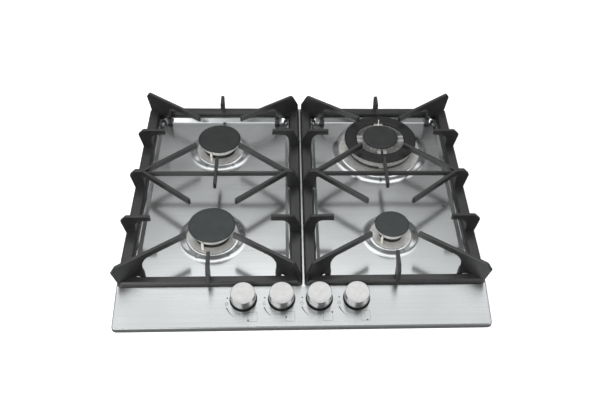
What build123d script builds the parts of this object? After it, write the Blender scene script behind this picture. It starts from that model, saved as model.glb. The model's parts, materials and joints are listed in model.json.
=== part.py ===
from build123d import *
from math import atan2, cos, degrees, hypot, radians, sin, sqrt, tan
import os

os.makedirs("parts", exist_ok=True)

# Shared frame: X to the right, Y to the back, Z up, worktop plane at Z 0,
# origin at the middle of the cut-out. All sizes in millimetres.

# pressed top sheet
sheet_w = 590.0
sheet_d = 525.0
sheet_t = 1.0
deck_z = 26.0
skirt_z = 2.5
front_lip_z = 9.5
strip_run = 69.0
corner_r = 6.0
ridge_r = 9.0
lip_r = 2.5
field_in_x = 23.0
field_side = 24.0
field_front = 84.5
field_back = 31.5
field_depth = 6.0
field_corner_r = 12.0
border_angle = 42.0
bead_h = 5.0

# opening of the return flange and the box below it
side_flange = 25.0
front_flange = 22.5
back_flange = 40.5
box_t = 1.0
box_gap = 2.0
box_bottom_z = -45.0
box_flange_w = 16.0
box_flange_t = 1.0
box_corner_r = 8.0
seal_w = 6.0

# control strip and knobs
strip_angle = degrees(atan2(deck_z - front_lip_z, strip_run))
knob_s = 48.0
knob_x = [-95.0, -35.0, 24.5, 83.5]
knob_r = 18.6
knob_top_h = 20.5
knob_foot_h = 4.3
knob_wall = 1.6
knob_hollow_h = 15.0
knob_boss_r = 6.6
knob_edge = 0.8
spindle_r = 4.0
spindle_flat = 2.6
spindle_top_h = 16.5
spindle_foot_h = -40.0
running = 0.05
loose = 0.3

dish_r = 20.0
dish_h = 2.4
dish_floor = 0.8
grommet_r = 6.0
grommet_hole_r = 6.3

# gas taps below the strip
tap_half_w = 12.0
tap_front = 13.0
tap_back = 12.0
tap_top_h = -14.0
tap_bottom_h = -50.0
plug_r = 7.0
plug_bottom_h = -46.5
plug_floor = 2.5
outlet_h = -44.0
outlet_r = 6.0
outlet_len = 8.0
tap_edge = 1.5
switch_w = 26.0
switch_d = 22.0
switch_t = 5.0
switch_hole_r = 6.0

# gas rail, its brackets and the inlet union
rail_r = 7.0
rail_bore_r = 5.5
rail_y = -19.5
rail_h = -34.0
rail_left_x = -125.0
rail_side = 63.0
rail_bend_r = 30.0
rail_back = 15.0
bracket_x = [-65.0, 54.0]
bracket_t = 8.0
bracket_w = 15.0
union_r = 10.48
union_collar_r = 12.5
union_thread_len = 15.0
union_nut_t = 6.0
union_bore_r = 5.5
wall_hole_r = 11.0

# feed tubes
tube_r = 3.0
tube_bore_r = 2.2
tube_bend_r = 24.0
tube_lead = 36.0
tube_socket = 6.0

# burners: centre, cap radius, crown radius, neck radius, bowl radius, bead radii
burner_x = sheet_w / 2 - 144.0
front_y = -sheet_d / 2 + 180.5
rear_y = sheet_d / 2 - 122.5
burners = {
    "fl": {"x": -burner_x, "y": front_y, "cap": 39.0, "crown": 34.0, "neck": 27.0,
           "bowl": 31.0, "bead_in": 45.0, "bead_out": 54.0, "post_r": 35.3,
           "ports": 36, "post_angle": -114.0},
    "rl": {"x": -burner_x, "y": rear_y, "cap": 39.0, "crown": 34.0, "neck": 27.0,
           "bowl": 31.0, "bead_in": 45.0, "bead_out": 54.0, "post_r": 35.3,
           "ports": 36, "post_angle": -114.0},
    "rr": {"x": burner_x, "y": rear_y, "cap": 67.5, "crown": 63.0, "neck": 60.0,
           "bowl": 61.0, "bead_in": 79.0, "bead_out": 88.0, "post_r": 65.0,
           "ports": 60, "post_angle": 118.0},
    "fr": {"x": burner_x, "y": front_y, "cap": 29.1, "crown": 24.8, "neck": 18.0,
           "bowl": 22.0, "bead_in": 37.0, "bead_out": 46.0, "post_r": 26.6,
           "ports": 26, "post_angle": -131.0},
}
probe_turn = 172.0
neck_wall = 3.0
neck_clear = 1.2
cup_top_z = 35.5
wok_top_z = 33.0
cup_flange_t = 3.0
cup_flange_w = 11.0
bowl_wall = 2.5
bowl_floor_z = 9.0
throat_r = 9.0
throat_wall = 1.6
throat_end_z = 2.0
holder_r = 9.0
holder_half = 7.0
leg_y = 18.0
leg_t = 6.0
leg_w = 8.0
injector_r = 3.4
injector_bore_r = 0.6
injector_hex = 8.0
injector_head = 4.0
stud_r = 2.0
stud_in = 4.5
stud_len = 8.0
nut_af = 7.0
nut_t = 3.0

crown_top_z = 46.5
crown_wall = 5.5
crown_skirt = 5.5
port_w = 1.8
port_h = 4.0
cap_top_z = 51.3
cap_rim_t = 3.0
cap_bevel = 2.6
cap_bevel_drop = 1.1
cap_edge_r = 0.6
cap_seat = 1.2
cap_key = 3.0
post_body_r = 2.2
post_tip_r = 0.9
post_shoulder_z = 38.0
post_top_z = 44.0
post_foot_z = 12.0
notch_r = 3.2

wok_ring_hole_r = 45.0
wok_wall_in_r = 46.2
wok_wall_t = 3.5
wok_floor_t = 3.5
wok_hub_r = 30.5
wok_hub_wall = 4.5
wok_inner_cap_r = 33.0
wok_hub_ports = 24
wok_hub_rise = 4.5
bridge_w = 17.0
bridge_drop = 0.8
bridge_groove = 5.0
bridge_split = 4.7
wok_spark_r = 41.0
wok_spark_top_z = 62.0
wok_feed_r = 51.5
wok_feed_hole = 1.6
wok_feeds = 12
block_w = 14.0
block_out = 65.0
block_top_z = 43.0

# pan supports
grate_in_x = -1.5
grate_out_x = 1.0 - sheet_w / 2
grate_y0 = 68.5 - sheet_d / 2
grate_y1 = sheet_d / 2 - 8.5
side_bar = 20.0
end_bar = 16.0
bar_z0 = 27.0
bar_z1 = 35.0
bar_bevel = 3.0
bar_corner_r = 9.0
bar_inner_r = 6.0
root_z = 31.0
tip_z = 62.0
top_z = 72.0
under_z = 61.0
tip_out = 5.5
bar_inset = 2.5
bevel_run = 9.0
back_bevel_run = 6.5
back_finger_in = 9.0
blade_t = 5.4
fin_t = 7.6
rib_t = 4.6
rib_z0 = 59.0
rib_z1 = 67.5
blade_edge = 0.7
web_r = 13.0
arm_end = 38.0
arm_leg_s = 46.0
arm_leg_w = 10.0
foot_z = 24.0
pad_r = 5.0
pad_in = 1.5
foot_r = 4.5
stub_end = 100.0
stub_web = 17.0
centre_stub = 50.5
centre_web = 22.0
mid_y = (front_y + rear_y) / 2
mid_reach = 73.5
mid_root_in = 24.0
finger_x = 1.0 - burner_x
finger_front = 34.0
finger_back = 38.0
finger_mid = 35.0

# clamps, screws and electrics
clamp_in = 112.5
clamp_w = 30.0
clamp_t = 1.5
clamp_top_z = -12.0
clamp_foot_z = -41.5
clamp_reach = 24.0
screw_head_r = 3.5
screw_head_t = 2.0
screw_r = 1.9
screw_hole_r = 2.2
box_screw_in = 82.5
module_w = 70.0
module_d = 44.0
module_t = 26.0
module_x = -60.0
module_in = 32.0
terminal_w = 40.0
terminal_d = 20.0
terminal_t = 16.0
terminal_x = 70.0
terminal_in = 30.0
gland_r = 9.0
gland_hole_r = 4.0
gland_neck_r = 6.5
gland_lip = 2.0
gland_z = -30.0

# values that follow from the sizes above
half_w = sheet_w / 2
half_d = sheet_d / 2
field_x = (field_in_x + half_w - field_side) / 2
field_w = half_w - field_side - field_in_x
field_y0 = field_front - half_d
field_y1 = half_d - field_back
flange_open_x = half_w - side_flange
flange_open_front = half_d - front_flange
flange_open_back = half_d - back_flange
rail_right_x = half_w - rail_side
clamp_y = [clamp_in - half_d, half_d - clamp_in]
box_screw_y = [box_screw_in - half_d, 0.0, half_d - box_screw_in]
field_z = deck_z - field_depth
bead_z = field_z + bead_h
sheet_under_z = bead_z - sheet_t
field_cy = (field_y0 + field_y1) / 2
field_len = field_y1 - field_y0
knob_y = -half_d + knob_s * cos(radians(strip_angle))
knob_z = front_lip_z + knob_s * sin(radians(strip_angle))
strip_normal = (0, -sin(radians(strip_angle)), cos(radians(strip_angle)))
box_half_x = flange_open_x - box_gap
box_front = -flange_open_front + box_gap
box_back = flange_open_back - box_gap
box_cy = (box_front + box_back) / 2
box_len = box_back - box_front
box_flange_z = skirt_z - box_flange_t
box_floor_z = box_bottom_z + box_t
rail_back_y = box_back - rail_back
module_y = box_back - module_in
terminal_y = box_back - terminal_in
wok_hub_top_z = crown_top_z + wok_hub_rise
wok_cap_top_z = cap_top_z + wok_hub_rise


def strip_plane(x, h):
    # plane parallel to the control strip, h above it, on a knob axis
    foot = Vector(x, knob_y, knob_z) + Vector(*strip_normal) * h
    return Plane(origin=foot, x_dir=(1, 0, 0), z_dir=strip_normal)


def strip_point(x, y, h):
    return strip_plane(x, h).from_local_coords((0, y, 0))


def bead_profile(r_in, r_out, inset):
    # raised ring with soft upper and lower bends, from the axis outwards
    shift = inset * tan(atan2(bead_h, r_out - r_in) / 2)
    base = field_z - inset
    top = bead_z - inset
    skirt = r_out + 2 * bead_h
    with BuildSketch(Plane.XZ) as profile:
        with BuildLine():
            FilletPolyline(
                (0, base - sheet_t),
                (0, top),
                (r_in - shift, top),
                (r_out - shift, base),
                (skirt, base),
                (skirt, base - sheet_t),
                (0, base - sheet_t),
                radius=[0, 0, 2 * bead_h, 3 * bead_h, 0, 0],
            )
        make_face()
    return profile.sketch


def pressed_form(inset):
    # block bounded by the sheet's skin moved inwards by inset
    slope = tan(radians(strip_angle))
    lean = inset / cos(radians(strip_angle))
    y_front = -half_d + inset
    z_front = front_lip_z + inset * slope - lean
    y_ridge = -half_d + (deck_z - front_lip_z - inset + lean) / slope
    top = deck_z - inset
    grow = inset * tan(radians(border_angle) / 2)
    beads = [
        (b, bead_profile(b["bead_in"], b["bead_out"], inset)) for b in burners.values()
    ]
    with BuildPart() as form:
        with BuildSketch(Plane.YZ):
            with BuildLine():
                Polyline(
                    (y_front, skirt_z + inset),
                    (y_front, z_front),
                    (y_ridge, top),
                    (half_d - inset, top),
                    (half_d - inset, skirt_z + inset),
                    (y_front, skirt_z + inset),
                )
            make_face()
        extrude(amount=half_w - inset, both=True)
        fillet(form.edges().filter_by(Axis.Z), radius=corner_r - inset)
        ridge = form.edges().filter_by(Axis.X).sort_by_distance((0, y_ridge, top))[0]
        fillet(ridge, radius=ridge_r - inset)
        upper = form.edges().filter_by(lambda e: e.center().Z > skirt_z + inset + lip_r)
        along = upper.filter_by(lambda e: abs(e.center().Y) > half_d - corner_r - inset)
        across = upper.filter_by(lambda e: abs(e.center().X) > half_w - corner_r - inset)
        walls = upper.filter_by(Axis.Z)
        fillet(ShapeList(set(along + across) - set(walls)), radius=lip_r - inset)
        with BuildSketch(Plane.XY.offset(top)):
            with Locations((-field_x, field_cy), (field_x, field_cy)):
                RectangleRounded(
                    field_w + 2 * grow, field_len + 2 * grow, field_corner_r + grow
                )
        extrude(amount=-field_depth, taper=border_angle, mode=Mode.SUBTRACT)
        for place, profile in beads:
            with Locations((place["x"], place["y"], 0)):
                add(revolve(profile, axis=Axis.Z, mode=Mode.PRIVATE))
    return form.part


def polar(place, radius, angle):
    x = place["x"] + radius * cos(radians(angle))
    y = place["y"] + radius * sin(radians(angle))
    return x, y


def save(piece, name):
    piece.part.label = name
    export_step(piece.part, f"parts/{name}.step")


def disc_part(outline, radii=None):
    # solid of revolution about the vertical axis from an (r, z) outline
    with BuildPart() as turned:
        with BuildSketch(Plane.XZ):
            with BuildLine():
                if radii:
                    FilletPolyline(*outline, outline[0], radius=radii)
                else:
                    Polyline(*outline, outline[0])
            make_face()
        revolve(axis=Axis.Z)
    return turned.part


def cast_blade(start, end, outline, thickness, radii):
    # upright cast plate: outline in (distance from start, height), edges broken
    run = hypot(end[0] - start[0], end[1] - start[1])
    ux = (end[0] - start[0]) / run
    uy = (end[1] - start[1]) / run
    upright = Plane(origin=(start[0], start[1], 0), x_dir=(ux, uy, 0), z_dir=(uy, -ux, 0))
    with BuildPart() as blade:
        with BuildSketch(upright):
            with BuildLine():
                FilletPolyline(*outline, outline[0], radius=radii)
            make_face()
        extrude(amount=thickness / 2, both=True)
        sides = blade.faces().filter_by(Axis(upright.origin, upright.z_dir))
        chamfer(sides.edges(), length=blade_edge)
    return blade.part


# top sheet: skin less lining, return flange opened, burner and spindle holes, welded studs
skin = pressed_form(0)
lining = pressed_form(sheet_t)
with BuildPart() as top_sheet:
    add(skin)
    add(lining, mode=Mode.SUBTRACT)
    with BuildSketch(Plane.XY.offset(skirt_z)):
        with Locations((0, (flange_open_back - flange_open_front) / 2)):
            RectangleRounded(
                2 * flange_open_x, flange_open_front + flange_open_back, box_corner_r
            )
    extrude(amount=sheet_t, mode=Mode.SUBTRACT)
    for burner in burners.values():
        with Locations((burner["x"], burner["y"], sheet_under_z)):
            Cylinder(
                burner["neck"] + neck_clear,
                4 * sheet_t,
                align=(Align.CENTER, Align.CENTER, Align.CENTER),
                mode=Mode.SUBTRACT,
            )
        stud_ring = burner["bowl"] + stud_in + stud_r / 2
        with BuildSketch(Plane.XY.offset(sheet_under_z)):
            with Locations((burner["x"], burner["y"])):
                with PolarLocations(stud_ring, 2):
                    Circle(stud_r)
        extrude(amount=-stud_len)
    for name in ("fl", "rl", "fr"):
        burner = burners[name]
        posts = [
            polar(burner, burner["post_r"], burner["post_angle"]),
            polar(burner, burner["post_r"], burner["post_angle"] + probe_turn),
        ]
        with Locations(*[(x, y, sheet_under_z) for x, y in posts]):
            Cylinder(post_body_r + neck_clear / 2, 4 * sheet_t, mode=Mode.SUBTRACT)
    wok_probe = polar(burners["rr"], burners["rr"]["post_r"], burners["rr"]["post_angle"])
    with Locations((*wok_probe, sheet_under_z)):
        Cylinder(post_body_r + neck_clear / 2, 4 * sheet_t, mode=Mode.SUBTRACT)
    for x in knob_x:
        with BuildSketch(strip_plane(x, sheet_t)):
            Circle(grommet_hole_r)
        extrude(amount=-3 * sheet_t, mode=Mode.SUBTRACT)
save(top_sheet, "top_sheet")

# foam seal between the return flange and the worktop
with BuildPart() as foam_seal:
    with BuildSketch():
        RectangleRounded(sheet_w - 2 * sheet_t, sheet_d - 2 * sheet_t, corner_r)
        RectangleRounded(
            sheet_w - 2 * sheet_t - 2 * seal_w,
            sheet_d - 2 * sheet_t - 2 * seal_w,
            corner_r,
            mode=Mode.SUBTRACT,
        )
    extrude(amount=skirt_z)
save(foam_seal, "foam_seal")

# bottom box: folded tray with an outward flange under the sheet's return flange
side_screws = [(s * (box_half_x + 1.5 * screw_head_r), y) for s in (-1, 1) for y in box_screw_y]
with BuildPart() as underbox:
    with BuildSketch(Plane.XY.offset(box_bottom_z)):
        with Locations((0, box_cy)):
            RectangleRounded(2 * box_half_x, box_len, box_corner_r)
    extrude(amount=box_flange_z - box_bottom_z)
    with BuildSketch(Plane.XY.offset(box_flange_z)):
        with Locations((0, box_cy)):
            RectangleRounded(
                2 * (box_half_x + box_flange_w), box_len + 2 * box_flange_w, box_corner_r
            )
    extrude(amount=box_flange_t)
    with BuildSketch(Plane.XY.offset(box_floor_z)):
        with Locations((0, box_cy)):
            RectangleRounded(
                2 * (box_half_x - box_t), box_len - 2 * box_t, box_corner_r - box_t
            )
    extrude(amount=skirt_z - box_floor_z, mode=Mode.SUBTRACT)
    with BuildSketch(Plane.XY.offset(box_flange_z)):
        with Locations(*side_screws):
            Circle(screw_hole_r)
    extrude(amount=box_flange_t, mode=Mode.SUBTRACT)
    with BuildSketch(Plane.XZ.offset(-box_back - box_t)):
        with Locations((rail_right_x, strip_point(0, rail_y, rail_h).Z)):
            Circle(wall_hole_r)
        with Locations((terminal_x, gland_z)):
            Circle(gland_neck_r)
    extrude(amount=3 * box_t, mode=Mode.SUBTRACT)
save(underbox, "underbox")

with BuildPart() as underbox_screws:
    with BuildSketch(Plane.XY.offset(box_flange_z)):
        with Locations(*side_screws):
            Circle(screw_head_r)
    extrude(amount=-screw_head_t)
    with BuildSketch(Plane.XY.offset(box_flange_z)):
        with Locations(*side_screws):
            Circle(screw_r)
    extrude(amount=box_flange_t)
save(underbox_screws, "underbox_screws")

# clamps that reach below the worktop, two on each side of the box
with BuildPart() as clamp_brackets:
    for y in clamp_y:
        with BuildSketch(Plane.XZ.offset(-y)):
            with BuildLine():
                Polyline(
                    (box_half_x, clamp_top_z),
                    (box_half_x + clamp_t, clamp_top_z),
                    (box_half_x + clamp_t, clamp_foot_z + clamp_t),
                    (box_half_x + clamp_reach, clamp_foot_z + clamp_t),
                    (box_half_x + clamp_reach, clamp_foot_z),
                    (box_half_x, clamp_foot_z),
                    (box_half_x, clamp_top_z),
                )
            make_face()
        extrude(amount=clamp_w / 2, both=True)
    mirror(about=Plane.YZ)
save(clamp_brackets, "clamp_brackets")

with BuildPart() as clamp_screws:
    with BuildSketch(Plane.YZ.offset(box_half_x + clamp_t)):
        with Locations(*[(y, (clamp_top_z + clamp_foot_z) / 2) for y in clamp_y]):
            Circle(screw_head_r)
    extrude(amount=screw_head_t)
    mirror(about=Plane.YZ)
save(clamp_screws, "clamp_screws")

# gas rail: one bent tube, flattened where each tap is seated
rail_left = strip_point(rail_left_x, rail_y, rail_h)
rail_corner = Vector(rail_right_x, rail_left.Y, rail_left.Z)
rail_end = Vector(rail_right_x, rail_back_y, rail_left.Z)
with BuildPart() as gas_rail:
    with BuildLine() as rail_path:
        FilletPolyline(rail_left, rail_corner, rail_end, radius=rail_bend_r)
    with BuildSketch(Plane(origin=rail_left, z_dir=(1, 0, 0))):
        Circle(rail_r)
        Circle(rail_bore_r, mode=Mode.SUBTRACT)
    sweep(path=rail_path.line)
    with BuildSketch(Plane(origin=rail_left, z_dir=(1, 0, 0))):
        Circle(rail_r)
    extrude(amount=rail_r - rail_bore_r)
    for x in knob_x:
        with Locations(strip_plane(x, rail_h)):
            with Locations((0, -tap_front + rail_r / 2, 0)):
                Box(2 * tap_half_w + 2 * running, rail_r, 3 * rail_r, mode=Mode.SUBTRACT)
save(gas_rail, "gas_rail")

# inlet union: socket on the tube, flange on the box wall, male thread outside
union_foot = rail_back_y - rail_r
union_tip = box_back + union_nut_t + union_thread_len
with BuildPart() as inlet_union:
    with BuildSketch(Plane(origin=(rail_right_x, 0, rail_left.Z), z_dir=(0, 1, 0))):
        Circle(union_r)
    extrude(amount=union_tip)
    with BuildSketch(Plane(origin=(rail_right_x, 0, rail_left.Z), z_dir=(0, 1, 0))):
        Circle(union_r + 1)
    extrude(amount=union_foot, mode=Mode.SUBTRACT)
    with BuildSketch(Plane(origin=(rail_right_x, box_back, rail_left.Z), z_dir=(0, 1, 0))):
        RegularPolygon(union_collar_r, 6, major_radius=False)
    extrude(amount=union_nut_t)
    with BuildSketch(Plane(origin=(rail_right_x, 0, rail_left.Z), z_dir=(0, 1, 0))):
        Circle(union_bore_r)
    extrude(amount=union_tip, mode=Mode.SUBTRACT)
    with BuildSketch(Plane(origin=(rail_right_x, 0, rail_left.Z), z_dir=(0, 1, 0))):
        Circle(rail_r + running)
    extrude(amount=rail_back_y + running, mode=Mode.SUBTRACT)
save(inlet_union, "inlet_union")

with BuildPart() as rail_brackets:
    for x in bracket_x:
        with Locations((x, rail_left.Y, box_floor_z)):
            Box(
                bracket_t,
                bracket_w,
                rail_left.Z + rail_r + bracket_t / 2 - box_floor_z,
                align=(Align.CENTER, Align.CENTER, Align.MIN),
            )
            Box(
                3 * bracket_t,
                bracket_w,
                2 * box_t,
                align=(Align.CENTER, Align.CENTER, Align.MIN),
            )
        with Locations(Location((x, rail_left.Y, rail_left.Z), (0, 90, 0))):
            Cylinder(rail_r + running, 2 * bracket_t, mode=Mode.SUBTRACT)
save(rail_brackets, "rail_brackets")

# one set of control parts for each knob
tube_target = ["fl", "rl", "rr", "fr"]
tap_mid = (tap_back - tap_front) / 2
for number, x in enumerate(knob_x, start=1):
    with BuildPart() as tap_body:
        with BuildSketch(strip_plane(x, tap_bottom_h)):
            with Locations((0, tap_mid)):
                Rectangle(2 * tap_half_w, tap_front + tap_back)
        extrude(amount=tap_top_h - tap_bottom_h)
        chamfer(tap_body.edges().filter_by(Axis((0, 0, 0), strip_normal)), length=tap_edge)
        with BuildSketch(Plane(origin=strip_point(x, tap_back, outlet_h),
                               z_dir=strip_plane(x, 0).y_dir)):
            Circle(outlet_r)
        extrude(amount=outlet_len)
        with BuildSketch(Plane(origin=strip_point(x, tap_back + outlet_len, outlet_h),
                               z_dir=strip_plane(x, 0).y_dir)):
            Circle(tube_r + running)
        extrude(amount=-tube_socket, mode=Mode.SUBTRACT)
        with BuildSketch(strip_plane(x, tap_top_h)):
            Circle(plug_r + running)
        extrude(amount=plug_bottom_h - tap_top_h, mode=Mode.SUBTRACT)
    save(tap_body, f"tap_body_{number}")

    with BuildPart() as tap_plug:
        with BuildSketch(strip_plane(x, plug_bottom_h)):
            Circle(plug_r)
        extrude(amount=tap_top_h - plug_bottom_h)
        with BuildSketch(strip_plane(x, plug_bottom_h + plug_floor)):
            Circle(spindle_r + running)
            with Locations((0, spindle_flat + running)):
                Rectangle(
                    4 * spindle_r,
                    2 * spindle_r,
                    align=(Align.CENTER, Align.MIN),
                    mode=Mode.SUBTRACT,
                )
        extrude(amount=tap_top_h - plug_bottom_h, mode=Mode.SUBTRACT)
    save(tap_plug, f"tap_plug_{number}")

    with BuildPart() as spindle:
        with BuildSketch(strip_plane(x, spindle_foot_h)):
            Circle(spindle_r)
            with Locations((0, spindle_flat)):
                Rectangle(
                    4 * spindle_r,
                    2 * spindle_r,
                    align=(Align.CENTER, Align.MIN),
                    mode=Mode.SUBTRACT,
                )
        extrude(amount=spindle_top_h - spindle_foot_h)
    save(spindle, f"spindle_{number}")

    with BuildPart() as knob:
        with BuildSketch(strip_plane(x, knob_foot_h)):
            Circle(knob_r)
        extrude(amount=knob_top_h - knob_foot_h)
        fillet(knob.edges().filter_by(GeomType.CIRCLE), radius=knob_edge)
        with BuildSketch(strip_plane(x, knob_foot_h)):
            Circle(knob_r - knob_wall)
            Circle(knob_boss_r, mode=Mode.SUBTRACT)
        extrude(amount=knob_hollow_h - knob_foot_h, mode=Mode.SUBTRACT)
        with BuildSketch(strip_plane(x, knob_foot_h)):
            Circle(spindle_r + running)
            with Locations((0, spindle_flat + running)):
                Rectangle(
                    4 * spindle_r,
                    2 * spindle_r,
                    align=(Align.CENTER, Align.MIN),
                    mode=Mode.SUBTRACT,
                )
        extrude(amount=spindle_top_h + running - knob_foot_h, mode=Mode.SUBTRACT)
    save(knob, f"knob_{number}")

    with BuildPart() as knob_seal:
        with BuildSketch(strip_plane(x, 0)):
            Circle(dish_r)
        extrude(amount=dish_h, taper=10)
        with BuildSketch(strip_plane(x, dish_floor)):
            Circle(knob_r + loose)
        extrude(amount=dish_h, mode=Mode.SUBTRACT)
        with BuildSketch(strip_plane(x, -2 * sheet_t)):
            Circle(grommet_r)
        extrude(amount=2 * sheet_t + dish_floor)
        with BuildSketch(strip_plane(x, -2 * sheet_t)):
            Circle(spindle_r + 2 * running)
        extrude(amount=4 * sheet_t, mode=Mode.SUBTRACT)
    save(knob_seal, f"knob_seal_{number}")

    burner = burners[tube_target[number - 1]]
    side = 1 if x > burner["x"] else -1
    tube_start = strip_point(x, tap_back + outlet_len - tube_socket + running, outlet_h)
    tube_knee = strip_point(x, tube_lead, outlet_h)
    tube_corner = Vector(x, burner["y"], tube_knee.Z)
    tube_end = Vector(burner["x"] + side * (injector_r + 1), burner["y"], tube_knee.Z)
    with BuildPart() as feed_tube:
        with BuildLine() as tube_path:
            FilletPolyline(
                tube_start, tube_knee, tube_corner, tube_end, radius=tube_bend_r
            )
        with BuildSketch(Plane(origin=tube_start, z_dir=strip_plane(x, 0).y_dir)):
            Circle(tube_r)
            Circle(tube_bore_r, mode=Mode.SUBTRACT)
        sweep(path=tube_path.line)
    save(feed_tube, f"feed_tube_{tube_target[number - 1]}")

# spark switches threaded on the spindles, resting on the tap tops
with BuildPart() as ignition_switches:
    for x in knob_x:
        with BuildSketch(strip_plane(x, tap_top_h)):
            with Locations((0, tap_mid)):
                RectangleRounded(switch_w, switch_d, tap_edge)
            Circle(switch_hole_r, mode=Mode.SUBTRACT)
        extrude(amount=switch_t)
save(ignition_switches, "ignition_switches")

# burner cups below the sheet
tube_z = strip_point(0, tube_lead, outlet_h).Z
holder_z0 = tube_z - holder_half
holder_z1 = tube_z + holder_half
for name, burner in burners.items():
    cup_z = wok_top_z if name == "rr" else cup_top_z
    neck = burner["neck"]
    bowl = burner["bowl"]
    flange = bowl + cup_flange_w
    stud_ring = bowl + stud_in + stud_r / 2
    tube_side = -1 if name in ("rr", "fr") else 1
    cup_outline = [
        (neck - neck_wall, cup_z),
        (neck, cup_z),
        (neck, sheet_under_z),
        (flange, sheet_under_z),
        (flange, sheet_under_z - cup_flange_t),
        (bowl, sheet_under_z - cup_flange_t),
        (bowl, bowl_floor_z),
        (throat_r, bowl_floor_z - bowl_wall),
        (throat_r, throat_end_z),
        (throat_r - throat_wall, throat_end_z),
        (throat_r - throat_wall, bowl_floor_z),
        (bowl - bowl_wall, bowl_floor_z + bowl_wall),
        (bowl - bowl_wall, sheet_under_z - cup_flange_t),
        (neck - neck_wall, sheet_under_z),
    ]
    posts = [polar(burner, burner["post_r"], burner["post_angle"])]
    if name != "rr":
        posts.append(polar(burner, burner["post_r"], burner["post_angle"] + probe_turn))
    shell = disc_part(cup_outline)
    with BuildPart() as cup:
        with Locations((burner["x"], burner["y"], 0)):
            add(shell)
        with BuildSketch(Plane.XY.offset(holder_z0)):
            with Locations((burner["x"], burner["y"])):
                Rectangle(leg_w, 2 * leg_y + leg_t)
        extrude(amount=leg_t / 2)
        with BuildSketch(Plane.XY.offset(holder_z0)):
            with Locations((burner["x"], burner["y"])):
                with Locations((0, -leg_y), (0, leg_y)):
                    Rectangle(leg_w, leg_t)
        extrude(amount=bowl_floor_z - holder_z0)
        with BuildSketch(Plane.XY.offset(holder_z0)):
            with Locations((burner["x"], burner["y"])):
                Circle(holder_r)
        extrude(amount=holder_z1 - holder_z0)
        with BuildSketch(Plane.XY.offset(tube_z)):
            with Locations((burner["x"], burner["y"])):
                Circle(injector_r + running)
        extrude(amount=holder_half, mode=Mode.SUBTRACT)
        with BuildSketch(Plane(origin=(burner["x"], burner["y"], tube_z),
                               z_dir=(tube_side, 0, 0))):
            Circle(tube_r + running)
        extrude(amount=holder_r, mode=Mode.SUBTRACT)
        with BuildSketch(Plane.XY.offset(sheet_under_z)):
            with Locations((burner["x"], burner["y"])):
                with PolarLocations(stud_ring, 2):
                    Circle(stud_r + 2 * running)
            with Locations(*posts):
                Circle(post_body_r + running)
        extrude(amount=-cup_flange_t, mode=Mode.SUBTRACT)
        if name == "rr":
            with BuildSketch(Plane.XY.offset(bowl_floor_z)):
                with Locations((burner["x"], burner["y"] + wok_spark_r)):
                    Circle(2 * post_body_r)
            extrude(amount=wok_top_z - bowl_floor_z - crown_skirt)
            with BuildSketch(Plane.XY.offset(0)):
                with Locations((burner["x"], burner["y"] + wok_spark_r)):
                    Circle(post_body_r + running)
            extrude(amount=wok_top_z, mode=Mode.SUBTRACT)
    save(cup, f"burner_cup_{name}")

with BuildPart() as injectors:
    for burner in burners.values():
        with BuildSketch(Plane.XY.offset(holder_z1)):
            with Locations((burner["x"], burner["y"])):
                RegularPolygon(injector_hex / 2, 6, major_radius=False)
        extrude(amount=injector_head)
        with BuildSketch(Plane.XY.offset(holder_z1)):
            with Locations((burner["x"], burner["y"])):
                Circle(injector_r)
        extrude(amount=-(holder_half - tube_r - running))
        with BuildSketch(Plane.XY.offset(tube_z)):
            with Locations((burner["x"], burner["y"])):
                Circle(injector_bore_r)
        extrude(amount=holder_half + injector_head, mode=Mode.SUBTRACT)
save(injectors, "injectors")

with BuildPart() as cup_nuts:
    for burner in burners.values():
        with BuildSketch(Plane.XY.offset(sheet_under_z - cup_flange_t)):
            with Locations((burner["x"], burner["y"])):
                with PolarLocations(burner["bowl"] + stud_in + stud_r / 2, 2):
                    RegularPolygon(nut_af / 2, 6, major_radius=False)
                    Circle(stud_r + running, mode=Mode.SUBTRACT)
        extrude(amount=-nut_t)
save(cup_nuts, "cup_nuts")

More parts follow.
